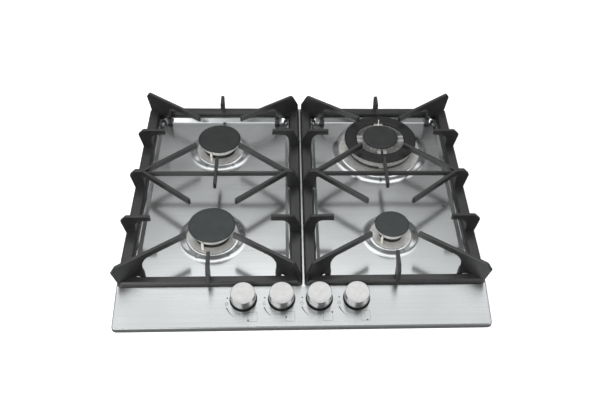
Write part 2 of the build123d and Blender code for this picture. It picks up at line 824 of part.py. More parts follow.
# slotted crowns of the three plain burners, and their caps
for name in ("fl", "rl", "fr"):
    burner = burners[name]
    rim = burner["crown"]
    inner = burner["neck"] - neck_wall - loose
    wall = rim - crown_wall
    crown_outline = [
        (inner - 2 * sheet_t, cup_top_z + 2 * sheet_t),
        (inner - 2 * sheet_t, cup_top_z - crown_skirt),
        (inner, cup_top_z - crown_skirt),
        (inner, cup_top_z),
        (rim - 2 * sheet_t, cup_top_z),
        (rim - sheet_t, cup_top_z + 2 * sheet_t),
        (rim, crown_top_z - port_h),
        (rim, crown_top_z),
        (wall, crown_top_z),
        (wall, cup_top_z + 2 * port_h / 2),
    ]
    body = disc_part(crown_outline)
    posts = [
        polar(burner, burner["post_r"], burner["post_angle"]),
        polar(burner, burner["post_r"], burner["post_angle"] + probe_turn),
    ]
    with BuildPart() as crown:
        with Locations((burner["x"], burner["y"], 0)):
            add(body)
            with PolarLocations(rim - crown_wall / 2, burner["ports"]):
                with Locations((0, 0, crown_top_z)):
                    Box(
                        2 * crown_wall,
                        port_w,
                        port_h,
                        align=(Align.CENTER, Align.CENTER, Align.MAX),
                        mode=Mode.SUBTRACT,
                    )
        with Locations(*[(px, py, cup_top_z) for px, py in posts]):
            Cylinder(
                notch_r,
                2 * (crown_top_z - cup_top_z),
                mode=Mode.SUBTRACT,
            )
    save(crown, f"crown_{name}")

    outer = burner["cap"]
    key = wall - loose
    cap_outline = [
        (0, crown_top_z),
        (key - 2 * cap_seat, crown_top_z),
        (key - 2 * cap_seat, crown_top_z - cap_key),
        (key, crown_top_z - cap_key),
        (key, crown_top_z),
        (rim + cap_seat, crown_top_z),
        (rim + 2 * cap_seat, cap_top_z - cap_rim_t),
        (outer, cap_top_z - cap_rim_t),
        (outer, cap_top_z - cap_bevel_drop),
        (outer - cap_bevel, cap_top_z),
        (0, cap_top_z),
    ]
    cap_radii = [0] * 8 + [cap_edge_r, cap_bevel, 0]
    with BuildPart() as cap:
        with Locations((burner["x"], burner["y"], 0)):
            add(disc_part(cap_outline, cap_radii))
    save(cap, f"cap_{name}")

# two-ring crown of the wok burner: ring channel, hub, carry-over bridges
wok = burners["rr"]
wok_rim = wok["crown"]
wok_skirt = wok["neck"] - neck_wall - loose
wok_floor = wok_top_z + wok_floor_t
ring_wall_in = wok_wall_in_r + wok_wall_t
ring_wall_out = wok_rim - crown_wall
hub_in = wok_hub_r - wok_hub_wall
wok_outline = [
    (hub_in, wok_top_z),
    (wok_skirt - 2 * sheet_t, wok_top_z),
    (wok_skirt - 2 * sheet_t, wok_top_z - crown_skirt),
    (wok_skirt, wok_top_z - crown_skirt),
    (wok_skirt, wok_top_z),
    (wok_rim - 2 * sheet_t, wok_top_z),
    (wok_rim - sheet_t, wok_top_z + 2 * sheet_t),
    (wok_rim, crown_top_z - port_h),
    (wok_rim, crown_top_z),
    (ring_wall_out, crown_top_z),
    (ring_wall_out, wok_floor),
    (ring_wall_in, wok_floor),
    (ring_wall_in, crown_top_z),
    (wok_wall_in_r, crown_top_z),
    (wok_wall_in_r, wok_floor),
    (wok_hub_r, wok_floor),
    (wok_hub_r, wok_hub_top_z),
    (hub_in, wok_hub_top_z),
]
wok_body = disc_part(wok_outline)
wok_posts = [
    (*polar(wok, wok["post_r"], wok["post_angle"]), notch_r),
    (wok["x"], wok["y"] + wok_spark_r, post_body_r + loose),
]
bridge_z = wok_hub_top_z - bridge_drop
bridge_low_z = crown_top_z - bridge_drop
bridge_end_r = sqrt((wok_ring_hole_r - loose) ** 2 - (bridge_w / 2) ** 2)
hub_mid_r = wok_hub_r - wok_hub_wall / 2
with BuildPart() as crown_rr:
    with Locations((wok["x"], wok["y"], 0)):
        add(wok_body)
        with PolarLocations((hub_mid_r + wok_wall_in_r + loose) / 2, 4):
            with Locations((0, 0, wok_floor)):
                Box(
                    wok_wall_in_r + loose - hub_mid_r,
                    bridge_w,
                    bridge_low_z - wok_floor,
                    align=(Align.CENTER, Align.CENTER, Align.MIN),
                )
        with PolarLocations((hub_mid_r + bridge_end_r) / 2, 4):
            with Locations((0, 0, wok_floor)):
                Box(
                    bridge_end_r - hub_mid_r,
                    bridge_w,
                    bridge_z - wok_floor,
                    align=(Align.CENTER, Align.CENTER, Align.MIN),
                )
        with PolarLocations((wok_hub_r + wok_wall_in_r) / 2, 2):
            with Locations((0, 0, bridge_z)):
                Box(
                    wok_wall_in_r - wok_hub_r,
                    bridge_groove,
                    bridge_groove,
                    mode=Mode.SUBTRACT,
                )
        with Locations((0, -(wok_hub_r + wok_wall_in_r) / 2, bridge_z)):
            Box(
                bridge_split,
                wok_wall_in_r - wok_hub_r,
                2 * (bridge_z - wok_floor),
                mode=Mode.SUBTRACT,
            )
        with PolarLocations(wok_rim - crown_wall / 2, wok["ports"]):
            with Locations((0, 0, crown_top_z)):
                Box(
                    2 * crown_wall,
                    port_w,
                    port_h,
                    align=(Align.CENTER, Align.CENTER, Align.MAX),
                    mode=Mode.SUBTRACT,
                )
        with PolarLocations(wok_hub_r, wok_hub_ports):
            with Locations((0, 0, wok_hub_top_z)):
                Box(
                    3 * wok_hub_wall,
                    port_w,
                    port_h,
                    align=(Align.CENTER, Align.CENTER, Align.MAX),
                    mode=Mode.SUBTRACT,
                )
        with Locations((0, -(wok_rim + block_out) / 2 + port_w, wok_top_z)):
            Box(
                block_w,
                block_out - wok_rim + 2 * port_w,
                block_top_z - wok_top_z,
                align=(Align.CENTER, Align.CENTER, Align.MIN),
            )
    with BuildSketch(Plane.XY.offset(wok_top_z)):
        with Locations((wok["x"], wok["y"])):
            with PolarLocations(wok_feed_r, wok_feeds):
                Circle(wok_feed_hole)
    extrude(amount=wok_floor_t, mode=Mode.SUBTRACT)
    for px, py, hole in wok_posts:
        with Locations((px, py, wok_top_z)):
            Cylinder(hole, 3 * (crown_top_z - wok_top_z), mode=Mode.SUBTRACT)
save(crown_rr, "crown_rr")

ring_key = ring_wall_in + loose
ring_outline = [
    (wok_ring_hole_r, cap_top_z - cap_rim_t),
    (wok_wall_in_r - loose, cap_top_z - cap_rim_t),
    (wok_wall_in_r, crown_top_z),
    (ring_key, crown_top_z),
    (ring_key, crown_top_z - cap_key),
    (ring_key + 2 * cap_seat, crown_top_z - cap_key),
    (ring_key + 2 * cap_seat, crown_top_z),
    (wok_rim + cap_seat, crown_top_z),
    (wok_rim + 2 * cap_seat, cap_top_z - cap_rim_t),
    (wok["cap"], cap_top_z - cap_rim_t),
    (wok["cap"], cap_top_z - cap_bevel_drop),
    (wok["cap"] - cap_bevel, cap_top_z),
    (wok_ring_hole_r + cap_bevel, cap_top_z),
    (wok_ring_hole_r, cap_top_z - cap_bevel_drop),
]
with BuildPart() as cap_rr_ring:
    with Locations((wok["x"], wok["y"], 0)):
        add(
            disc_part(ring_outline, [0] * 10 + [cap_edge_r, cap_bevel, cap_bevel, cap_edge_r])
        )
save(cap_rr_ring, "cap_rr_ring")

hub_key = hub_in - loose
hub_cap_outline = [
    (0, wok_hub_top_z),
    (hub_key - 2 * cap_seat, wok_hub_top_z),
    (hub_key - 2 * cap_seat, wok_hub_top_z - cap_key),
    (hub_key, wok_hub_top_z - cap_key),
    (hub_key, wok_hub_top_z),
    (wok_hub_r, wok_hub_top_z),
    (wok_hub_r + cap_seat, wok_cap_top_z - cap_rim_t),
    (wok_inner_cap_r, wok_cap_top_z - cap_rim_t),
    (wok_inner_cap_r, wok_cap_top_z - cap_bevel_drop),
    (wok_inner_cap_r - cap_bevel, wok_cap_top_z),
    (0, wok_cap_top_z),
]
with BuildPart() as cap_rr_centre:
    with Locations((wok["x"], wok["y"], 0)):
        add(disc_part(hub_cap_outline, [0] * 8 + [cap_edge_r, cap_bevel, 0]))
save(cap_rr_centre, "cap_rr_centre")

# spark electrodes and flame probes held in the cup flanges
spark_outline = [
    (0, post_foot_z),
    (post_body_r, post_foot_z),
    (post_body_r, post_shoulder_z),
    (post_tip_r, post_shoulder_z + post_tip_r),
    (post_tip_r, post_top_z),
    (0, post_top_z),
]
wok_spark_outline = [
    (0, post_foot_z),
    (post_body_r, post_foot_z),
    (post_body_r, bridge_z),
    (post_tip_r, bridge_z + post_tip_r),
    (post_tip_r, wok_spark_top_z),
    (0, wok_spark_top_z),
]
spark_post = disc_part(spark_outline)
wok_spark_post = disc_part(wok_spark_outline)
with BuildPart() as spark_electrodes:
    for name in ("fl", "rl", "fr"):
        burner = burners[name]
        px, py = polar(burner, burner["post_r"], burner["post_angle"])
        with Locations((px, py, 0)):
            add(spark_post)
    with Locations((wok["x"], wok["y"] + wok_spark_r, 0)):
        add(wok_spark_post)
save(spark_electrodes, "spark_electrodes")

probe_outline = [
    (0, post_foot_z),
    (post_body_r, post_foot_z),
    (post_body_r, sheet_under_z),
    (post_body_r - loose, sheet_under_z),
    (post_body_r - loose, post_shoulder_z),
    (2 * post_tip_r, post_top_z - post_tip_r),
    (post_tip_r, post_top_z),
    (0, post_top_z),
]
probe_post = disc_part(probe_outline)
with BuildPart() as flame_probes:
    for name, burner in burners.items():
        turn = 0 if name == "rr" else probe_turn
        px, py = polar(burner, burner["post_r"], burner["post_angle"] + turn)
        with Locations((px, py, 0)):
            add(probe_post)
save(flame_probes, "flame_probes")

# ignition module, terminal block and the grommet of the supply lead on the box
with BuildPart() as ignition_module:
    with Locations((module_x, module_y, box_floor_z)):
        Box(module_w, module_d, module_t, align=(Align.CENTER, Align.CENTER, Align.MIN))
    fillet(ignition_module.edges().filter_by(Axis.Z), radius=2 * sheet_t)
save(ignition_module, "ignition_module")

with BuildPart() as terminal_block:
    with Locations((terminal_x, terminal_y, box_floor_z)):
        Box(
            terminal_w,
            terminal_d,
            terminal_t,
            align=(Align.CENTER, Align.CENTER, Align.MIN),
        )
    chamfer(terminal_block.faces().sort_by(Axis.Z)[-1].edges(), length=2 * sheet_t)
save(terminal_block, "terminal_block")

with BuildPart() as supply_grommet:
    with BuildSketch(Plane(origin=(terminal_x, box_back, gland_z), z_dir=(0, 1, 0))):
        Circle(gland_r)
    extrude(amount=gland_lip)
    with BuildSketch(Plane(origin=(terminal_x, box_back, gland_z), z_dir=(0, 1, 0))):
        Circle(gland_neck_r - running)
    extrude(amount=-box_t)
    with BuildSketch(Plane(origin=(terminal_x, box_back - box_t, gland_z), z_dir=(0, 1, 0))):
        Circle(gland_r)
    extrude(amount=-gland_lip)
    with BuildSketch(Plane(origin=(terminal_x, box_back, gland_z), z_dir=(0, 1, 0))):
        Circle(gland_hole_r)
    extrude(amount=3 * gland_lip, both=True, mode=Mode.SUBTRACT)
save(supply_grommet, "supply_grommet")


def outer_finger(reach):
    # short finger standing on a bar: leaning nose, flat top, curved root
    outline = [
        (1, root_z),
        (-tip_out, tip_z),
        (bevel_run - tip_out + 1, top_z),
        (reach, top_z),
        (reach + 1, under_z),
        (stub_web, under_z),
        (stub_web, root_z),
    ]
    return outline, [2, 2, 2, 1, 1, web_r, 2]


def back_finger(reach):
    # finger of the back bar, set in from the bar's edge
    outline = [
        (bar_inset, root_z),
        (back_finger_in - bevel_run, tip_z),
        (back_finger_in + 2, top_z),
        (reach, top_z),
        (reach + 1, under_z),
        (stub_web, under_z),
        (stub_web, root_z),
    ]
    return outline, [2, 2, 2, 1, 1, web_r, 2]


def inner_finger(reach):
    # finger of the centre-side bar: its back rolls over towards the other support
    outline = [
        (0, root_z),
        (0, top_z - 2 * web_r),
        (web_r, top_z),
        (reach, top_z),
        (reach + 1, under_z),
        (centre_web, under_z),
        (centre_web - 3, root_z),
    ]
    return outline, [2, web_r, web_r / 2, 1, 1, web_r, 2]


def corner_arm(length, leg_s, leans_out, bevel):
    # long arm from a frame corner, with the leg that carries the support
    if leans_out:
        back = [(bar_inset, root_z), (-tip_out, tip_z), (bevel - tip_out, top_z)]
        back_radii = [2, 2, 2]
    else:
        back = [(0, root_z), (0, top_z - 2 * web_r), (web_r, top_z)]
        back_radii = [2, web_r, web_r / 2]
    outline = back + [
        (length - 1, top_z),
        (length, under_z),
        (leg_s, under_z),
        (leg_s, bar_z0),
        (leg_s - arm_leg_w, bar_z0),
        (leg_s - arm_leg_w, root_z),
    ]
    return outline, back_radii + [1, 1, web_r, 1, 1, 0]


# left pan support; the right one is its mirror image
corners = [
    (grate_out_x + 1, grate_y0 + 1, front_y, -1, -1),
    (grate_in_x - bar_inset, grate_y0 + bar_inset, front_y, 1, -1),
    (grate_out_x + 1, grate_y1 - 1, rear_y, -1, 1),
    (grate_in_x - bar_inset, grate_y1 - bar_inset, rear_y, 1, 1),
]
blades = []
pads = []
for cx, cy, by, sx, sy in corners:
    target = (-burner_x + sx * arm_end, by + sy * arm_end)
    length = hypot(target[0] - cx, target[1] - cy)
    leg_s = arm_leg_s if sy < 0 else arm_leg_s + pad_r
    bevel = bevel_run if sy < 0 else back_bevel_run
    outline, radii = corner_arm(length, leg_s, sx < 0, bevel)
    blades.append(cast_blade((cx, cy), target, outline, blade_t, radii))
    pad_s = (leg_s - arm_leg_w / 4) / length
    pads.append(
        (
            cx + (target[0] - cx) * pad_s,
            cy + (target[1] - cy) * pad_s - (pad_r - 1 if sy > 0 else -pad_in),
        )
    )
for by in (front_y, rear_y):
    outline, radii = outer_finger(-burner_x - stub_end - grate_out_x)
    blades.append(
        cast_blade((grate_out_x, by), (-burner_x, by), outline, blade_t, radii)
    )
    outline, radii = inner_finger(centre_stub)
    blades.append(cast_blade((grate_in_x, by), (-burner_x, by), outline, blade_t, radii))
outline, radii = outer_finger(finger_front)
blades.append(
    cast_blade((finger_x, grate_y0), (finger_x, grate_y1), outline, blade_t, radii)
)
outline, radii = back_finger(finger_back)
blades.append(
    cast_blade((finger_x, grate_y1), (finger_x, grate_y0), outline, blade_t, radii)
)
outer_fin = [
    (1, root_z),
    (-tip_out, tip_z),
    (bevel_run - tip_out + 1, top_z),
    (stub_web + 1, top_z),
    (stub_web + 1, root_z),
]
blades.append(
    cast_blade((grate_out_x, mid_y), (finger_x, mid_y), outer_fin, fin_t, [2, 2, 2, 1, 2])
)
inner_fin = [
    (0, root_z),
    (0, top_z - 2 * web_r),
    (web_r, top_z),
    (mid_root_in + 2, top_z),
    (mid_root_in, root_z),
]
blades.append(
    cast_blade(
        (grate_in_x, mid_y), (finger_x, mid_y), inner_fin, fin_t, [2, web_r, web_r / 2, 1, 2]
    )
)
forks = [
    (grate_out_x + stub_web, -1),
    (grate_in_x - mid_root_in, 1),
]
for fork_x, sx in forks:
    for sy in (-1, 1):
        target = (-burner_x + sx * arm_end, mid_y + sy * mid_reach)
        length = hypot(target[0] - fork_x, target[1] - mid_y)
        fork_outline = [
            (-fin_t / 2, top_z),
            (length - 1, top_z),
            (length, under_z),
            (fin_t, under_z),
            (-fin_t / 2, under_z - fin_t),
        ]
        blades.append(
            cast_blade((fork_x, mid_y), target, fork_outline, blade_t, [0, 1, 1, 4, 0])
        )
rib_start = grate_out_x + stub_web - 1
rib_run = grate_in_x - mid_root_in + 1 - rib_start
rib_outline = [(0, rib_z0), (rib_run, rib_z0), (rib_run, rib_z1), (0, rib_z1)]
blades.append(
    cast_blade((rib_start, mid_y), (finger_x, mid_y), rib_outline, rib_t, [0] * 4)
)
mid_outline = [
    (-finger_mid, top_z),
    (finger_mid, top_z),
    (finger_mid + 1, under_z),
    (-finger_mid - 1, under_z),
]
blades.append(
    cast_blade((finger_x, mid_y), (finger_x, grate_y1), mid_outline, blade_t, [1] * 4)
)

frame_cx = (grate_in_x + grate_out_x) / 2
frame_cy = (grate_y0 + grate_y1) / 2
frame_w = grate_in_x - grate_out_x
frame_d = grate_y1 - grate_y0
with BuildPart() as grate_left:
    with BuildSketch(Plane.XY.offset(bar_z0)):
        with Locations((frame_cx, frame_cy)):
            RectangleRounded(frame_w, frame_d, bar_corner_r)
            RectangleRounded(
                frame_w - 2 * side_bar,
                frame_d - 2 * end_bar,
                bar_inner_r,
                mode=Mode.SUBTRACT,
            )
    extrude(amount=bar_z1 - bar_z0)
    chamfer(grate_left.faces().sort_by(Axis.Z)[-1].edges(), length=bar_bevel)
    for blade in blades:
        add(blade)
    with BuildSketch(Plane.XY.offset(foot_z)):
        with Locations(*pads):
            Circle(pad_r)
    extrude(amount=bar_z1 - foot_z, taper=5)
save(grate_left, "grate_left")

with BuildPart() as grate_right:
    add(mirror(grate_left.part, about=Plane.YZ, mode=Mode.PRIVATE))
save(grate_right, "grate_right")

with BuildPart() as grate_feet_left:
    with BuildSketch(Plane.XY.offset(field_z)):
        with Locations(*pads):
            Circle(foot_r)
    extrude(amount=foot_z - field_z)
save(grate_feet_left, "grate_feet_left")

with BuildPart() as grate_feet_right:
    add(mirror(grate_feet_left.part, about=Plane.YZ, mode=Mode.PRIVATE))
save(grate_feet_right, "grate_feet_right")
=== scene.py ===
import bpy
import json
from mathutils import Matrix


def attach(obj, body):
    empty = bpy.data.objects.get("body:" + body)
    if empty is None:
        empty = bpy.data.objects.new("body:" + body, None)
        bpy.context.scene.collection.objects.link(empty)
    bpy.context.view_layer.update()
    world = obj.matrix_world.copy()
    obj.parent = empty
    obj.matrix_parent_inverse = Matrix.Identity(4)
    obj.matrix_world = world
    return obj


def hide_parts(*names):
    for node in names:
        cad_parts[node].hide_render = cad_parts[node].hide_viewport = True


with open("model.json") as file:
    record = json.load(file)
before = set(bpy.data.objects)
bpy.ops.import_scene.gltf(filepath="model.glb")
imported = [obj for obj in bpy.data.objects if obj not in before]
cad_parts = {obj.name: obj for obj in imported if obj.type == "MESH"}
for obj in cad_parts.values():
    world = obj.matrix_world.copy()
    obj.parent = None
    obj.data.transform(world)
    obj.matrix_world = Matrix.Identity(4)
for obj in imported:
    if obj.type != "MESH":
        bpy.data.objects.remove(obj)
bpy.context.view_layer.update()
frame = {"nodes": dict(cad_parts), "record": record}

import math

import bpy
import numpy as np
from mathutils import Matrix, Vector

nodes = frame["nodes"]
mm = 0.001
print("frame loaded:", len(nodes), "nodes")


def linear(code):
    # sRGB hex turned into linear light with alpha 1
    channels = [int(code[i:i + 2], 16) / 255 for i in (0, 2, 4)]
    return [c / 12.92 if c <= 0.04045 else ((c + 0.055) / 1.055) ** 2.4 for c in channels] + [1.0]


def addNode(tree, kind, settings=None, links=None):
    # one shader node: settings are node options or socket values, links come from output sockets
    node = tree.nodes.new(kind)
    for key, value in (settings or {}).items():
        if isinstance(key, int) or key in node.inputs:
            node.inputs[key].default_value = value
        else:
            setattr(node, key, value)
    for key, source in (links or {}).items():
        tree.links.new(source, node.inputs[key])
    return node


def startMaterial(name):
    material = bpy.data.materials.new(name)
    material.use_nodes = True
    tree = material.node_tree
    place = addNode(tree, "ShaderNodeTexCoord").outputs["Object"]
    return material, tree, tree.nodes["Principled BSDF"], place


def mottle(tree, place, size, stretch=(1, 1, 1), detail=3.0, rough=0.5):
    # noise whose lumps are about size mm, drawn out by stretch
    scaled = addNode(tree, "ShaderNodeMapping", {"Scale": [1 / s for s in stretch]}, {"Vector": place})
    return addNode(
        tree,
        "ShaderNodeTexNoise",
        {"Scale": 1 / (size * mm), "Detail": detail, "Roughness": rough},
        {"Vector": scaled.outputs["Vector"]},
    ).outputs["Fac"]


def spread(tree, value, low, high, start=0.3, end=0.7):
    # value moved from start..end to low..high, held at both ends; start and end suit a noise
    return addNode(
        tree,
        "ShaderNodeMapRange",
        {"From Min": start, "From Max": end, "To Min": low, "To Max": high},
        {"Value": value},
    ).outputs["Result"]


def calculated(tree, operation, *values):
    # one step of arithmetic: sockets are linked, plain numbers are set
    numbers = {i: value for i, value in enumerate(values) if isinstance(value, (int, float))}
    sockets = {i: value for i, value in enumerate(values) if i not in numbers}
    return addNode(tree, "ShaderNodeMath", {"operation": operation, **numbers}, sockets).outputs[0]


def tinted(tree, value, dark, light):
    return addNode(
        tree,
        "ShaderNodeMix",
        {"data_type": "RGBA", 6: linear(dark), 7: linear(light)},
        {0: value},
    ).outputs[2]


def plainMaterial(spec):
    # patches vary the colour, grain varies the gloss and lifts the surface
    material, tree, shader, place = startMaterial(spec["name"])
    patches = mottle(tree, place, spec["patch"], detail=4.0)
    grain = mottle(tree, place, spec["grain"], spec.get("stretch", (1, 1, 1)), detail=4.0, rough=0.65)
    colour = tinted(tree, spread(tree, patches, 0, 1), spec["dark"], spec["light"])
    tree.links.new(colour, shader.inputs["Base Color"])
    tree.links.new(spread(tree, grain, *spec["rough"]), shader.inputs["Roughness"])
    lift = addNode(
        tree,
        "ShaderNodeBump",
        {"Strength": spec["bump"], "Distance": spec["height"] * mm},
        {"Height": grain},
    )
    tree.links.new(lift.outputs["Normal"], shader.inputs["Normal"])
    shader.inputs["Metallic"].default_value = spec.get("metal", 0.0)
    if "shine" in spec:
        shader.inputs["Specular IOR Level"].default_value = spec["shine"]
    return material


def brushedMaterial(spec):
    # grooves along X: fine streaks in gloss and height, highlights drawn out across them
    material, tree, shader, place = startMaterial(spec["name"])
    fine = mottle(tree, place, spec["streak"], (spec["length"] / spec["streak"], 1, 1), detail=2.0)
    wide = mottle(tree, place, spec["band"], (spec["bandStretch"], 1, 1), detail=3.0)
    cloud = mottle(tree, place, spec["cloud"], detail=2.0)
    lines = calculated(tree, "ADD", fine, wide)
    colour = tinted(tree, spread(tree, lines, 0, 1, *spec["tintRange"]), spec["dark"], spec["light"])
    tree.links.new(colour, shader.inputs["Base Color"])
    worn = calculated(tree, "ADD", spread(tree, fine, *spec["rough"]), spread(tree, cloud, *spec["wiped"]))
    # the control strip is brushed harder than the pressed fields
    depth = addNode(tree, "ShaderNodeSeparateXYZ", None, {0: place}).outputs["Y"]
    onStrip = spread(tree, depth, 1, 0, *spec["stripEdge"])
    rougher = calculated(tree, "MULTIPLY_ADD", onStrip, spec["stripRough"], worn)
    tree.links.new(rougher, shader.inputs["Roughness"])
    drawn = calculated(tree, "MULTIPLY_ADD", onStrip, spec["stripDrawn"], spec["drawn"])
    tree.links.new(drawn, shader.inputs["Anisotropic"])
    across = addNode(
        tree,
        "ShaderNodeVectorMath",
        {"operation": "CROSS_PRODUCT", 1: spec["groove"]},
        {0: addNode(tree, "ShaderNodeNewGeometry").outputs["Normal"]},
    )
    tree.links.new(across.outputs["Vector"], shader.inputs["Tangent"])
    lift = addNode(
        tree,
        "ShaderNodeBump",
        {"Strength": spec["bump"], "Distance": spec["height"] * mm},
        {"Height": fine},
    )
    tree.links.new(lift.outputs["Normal"], shader.inputs["Normal"])
    shader.inputs["Metallic"].default_value = 1.0
    return material


# brushed stainless: pale, fine lines along the width, soft upright smears of what it reflects
steelSpec = {
    "name": "stainless_brushed_along_width",
    "dark": "d4d7d8",
    "light": "dcdfe0",
    "streak": 0.5,
    "length": 60.0,
    # grooves a hair off X, so that the end walls facing along X keep a direction too
    "groove": (1.0, 0.004, 0.002),
    "tintRange": (0.7, 1.3),
    "band": 4.0,
    "bandStretch": 60.0,
    "cloud": 90.0,
    "wiped": (-0.02, 0.03),
    "rough": (0.17, 0.2),
    "drawn": 0.55,
    "stripRough": 0.09,
    "stripDrawn": 0.33,
    "stripEdge": (-0.1955, -0.1935),
    "bump": 0.04,
    "height": 0.002,
}
steel = brushedMaterial(steelSpec)

# flat tops of the burner seats: same steel dulled by heat and wiping, pale and even
seatTopSpec = {
    "name": "stainless_dulled_by_heat",
    "dark": "c8c7c4",
    "light": "dedddb",
    "patch": 9.0,
    "grain": 0.6,
    "rough": (0.32, 0.42),
    "bump": 0.1,
    "height": 0.01,
    "metal": 0.7,
}
seatTop = plainMaterial(seatTopSpec)

# cast iron under matt black enamel: dark, pebbled, a soft grey sheen on upward faces
ironSpec = {
    "name": "cast_iron_matt_black_enamel",
    "dark": "161616",
    "light": "202020",
    "patch": 14.0,
    "grain": 0.9,
    "rough": (0.32, 0.48),
    "bump": 0.45,
    "height": 0.08,
    "shine": 1.0,
}
iron = plainMaterial(ironSpec)

# enamel on the burner caps: even dark grey, finer than the iron
enamelSpec = {
    "name": "burner_cap_matt_enamel",
    "dark": "2c3031",
    "light": "343839",
    "patch": 18.0,
    "grain": 0.6,
    "rough": (0.38, 0.52),
    "bump": 0.35,
    "height": 0.04,
}
enamel = plainMaterial(enamelSpec)
# the rear caps take a darker enamel as painted shade, the big ring cap the darkest painted shade
rearCapEnamelPaintedShade = plainMaterial(dict(enamelSpec, name="burner_cap_enamel_painted_shade", dark="1e2021", light="272a2a"))
ringCapEnamelPaintedShade = plainMaterial(dict(enamelSpec, name="burner_cap_ring_enamel_painted_shade", dark="101111", light="181919"))

# machined aluminium of the burner heads: bright with turned lines round it
crownSpec = {
    "name": "burner_aluminium_turned",
    "dark": "e4e4e2",
    "light": "f4f4f2",
    "patch": 5.0,
    "grain": 0.5,
    "stretch": (6, 6, 1),
    "rough": (0.3, 0.42),
    "bump": 0.3,
    "height": 0.03,
    "metal": 0.55,
}
crownAluminium = plainMaterial(crownSpec)
# the two-ring crown is left as cast between its rings
ringCrown = plainMaterial(dict(crownSpec, name="burner_aluminium_as_cast", dark="a2a2a0", light="c0c0be"))

# die-cast aluminium of the cups below: grainy and heat-tinted, made much darker as painted shade, which
# reads as the dark gap under the crowns
cupShadeSpec = {
    "name": "aluminium_die_cast_painted_shade",
    "dark": "3e3e3c",
    "light": "545451",
    "patch": 8.0,
    "grain": 0.8,
    "rough": (0.4, 0.55),
    "bump": 0.4,
    "height": 0.05,
    "metal": 0.55,
}
cupAluminiumPaintedShade = plainMaterial(cupShadeSpec)

# satin metal of the knobs: near mirror side, pale flat top
knobSpec = {
    "name": "knob_satin_chrome",
    "dark": "b0b0b0",
    "light": "b8b8b7",
    "patch": 7.0,
    "grain": 0.35,
    "rough": (0.13, 0.17),
    "bump": 0.06,
    "height": 0.004,
    "metal": 1.0,
}
knobMetal = plainMaterial(knobSpec)

# black moulded plastic: slight orange peel, soft gloss
plasticSpec = {
    "name": "plastic_black_moulded",
    "dark": "121212",
    "light": "1d1d1d",
    "patch": 9.0,
    "grain": 0.5,
    "rough": (0.35, 0.5),
    "bump": 0.3,
    "height": 0.03,
}
plastic = plainMaterial(plasticSpec)

# black rubber: dull and dusty
rubberSpec = {
    "name": "rubber_black_dull",
    "dark": "141414",
    "light": "222222",
    "patch": 5.0,
    "grain": 0.4,
    "rough": (0.7, 0.9),
    "bump": 0.4,
    "height": 0.04,
}
rubber = plainMaterial(rubberSpec)

# white ceramic of the electrodes: smooth glaze with faint stains
ceramicSpec = {
    "name": "ceramic_white_glazed",
    "dark": "d9d5c9",
    "light": "efece4",
    "patch": 3.0,
    "grain": 0.5,
    "rough": (0.15, 0.3),
    "bump": 0.1,
    "height": 0.01,
}
ceramic = plainMaterial(ceramicSpec)

# probe steel: straw-coloured by heat
probeSpec = {
    "name": "probe_steel_heat_tinted",
    "dark": "8d8172",
    "light": "b5aca0",
    "patch": 3.0,
    "grain": 0.4,
    "rough": (0.25, 0.4),
    "bump": 0.2,
    "height": 0.02,
    "metal": 1.0,
}
probeSteel = plainMaterial(probeSpec)

# galvanised sheet of the box: blue-grey spangle, matt
zincSpec = {
    "name": "galvanised_sheet_spangled",
    "dark": "8f9598",
    "light": "b4b9bb",
    "patch": 16.0,
    "grain": 2.5,
    "rough": (0.35, 0.55),
    "bump": 0.15,
    "height": 0.03,
    "metal": 1.0,
}
zinc = plainMaterial(zincSpec)

# zinc-plated screws: brighter, worn at the heads
screwSpec = {
    "name": "screw_zinc_plated",
    "dark": "9b9a94",
    "light": "c9c8c2",
    "patch": 2.0,
    "grain": 0.4,
    "rough": (0.22, 0.4),
    "bump": 0.2,
    "height": 0.02,
    "metal": 1.0,
}
screwZinc = plainMaterial(screwSpec)

# bare aluminium tube: drawn along its length, dull white metal
tubeSpec = {
    "name": "aluminium_tube_drawn",
    "dark": "a8a9a9",
    "light": "c6c7c7",
    "patch": 12.0,
    "grain": 0.5,
    "stretch": (1, 8, 1),
    "rough": (0.28, 0.42),
    "bump": 0.2,
    "height": 0.02,
    "metal": 1.0,
}
tube = plainMaterial(tubeSpec)

# brass of the union, jets and tap plugs: yellow, lightly tarnished
brassSpec = {
    "name": "brass_turned_tarnished",
    "dark": "a07c3e",
    "light": "cfae66",
    "patch": 4.0,
    "grain": 0.4,
    "rough": (0.22, 0.4),
    "bump": 0.2,
    "height": 0.02,
    "metal": 1.0,
}
brass = plainMaterial(brassSpec)

# foam strip below the sheet: dark, closed cells, no shine
foamSpec = {
    "name": "foam_strip_closed_cell",
    "dark": "2a2a2a",
    "light": "3d3d3d",
    "patch": 4.0,
    "grain": 0.8,
    "rough": (0.85, 0.95),
    "bump": 0.8,
    "height": 0.2,
}
foam = plainMaterial(foamSpec)

# grey printing ink on the strip: matt and thin
inkSpec = {
    "name": "printed_ink_grey",
    "dark": "4b4b4b",
    "light": "5c5c5c",
    "patch": 3.0,
    "grain": 0.4,
    "rough": (0.5, 0.65),
    "bump": 0.1,
    "height": 0.01,
}
ink = plainMaterial(inkSpec)

finishes = {
    "stainless": steel,
    "galvanised": zinc,
    "foam": foam,
    "screw": screwZinc,
    "alu_tube": tube,
    "brass": brass,
    # the cups' aluminium is darkened as painted shade for the gap under the crowns
    "cast_alu": cupAluminiumPaintedShade,
    "crown_alu": crownAluminium,
    "black_plastic": plastic,
    "black_rubber": rubber,
    "ceramic": ceramic,
    "probe_steel": probeSteel,
    "cast_iron": iron,
    "enamel": enamel,
    "knob_metal": knobMetal,
}
for part in frame["record"]["subparts"]:
    thing = nodes[part["node"]]
    thing.data.materials.clear()
    thing.data.materials.append(finishes[part["material_slot"]])
# the rear caps and the big ring cap take the enamels darkened as painted shade
ownFinishes = {
    "cap_rl": rearCapEnamelPaintedShade,
    "cap_rr_centre": rearCapEnamelPaintedShade,
    "cap_rr_ring": ringCapEnamelPaintedShade,
    "crown_rr": ringCrown,
}
for name, finish in ownFinishes.items():
    nodes[name].data.materials[0] = finish

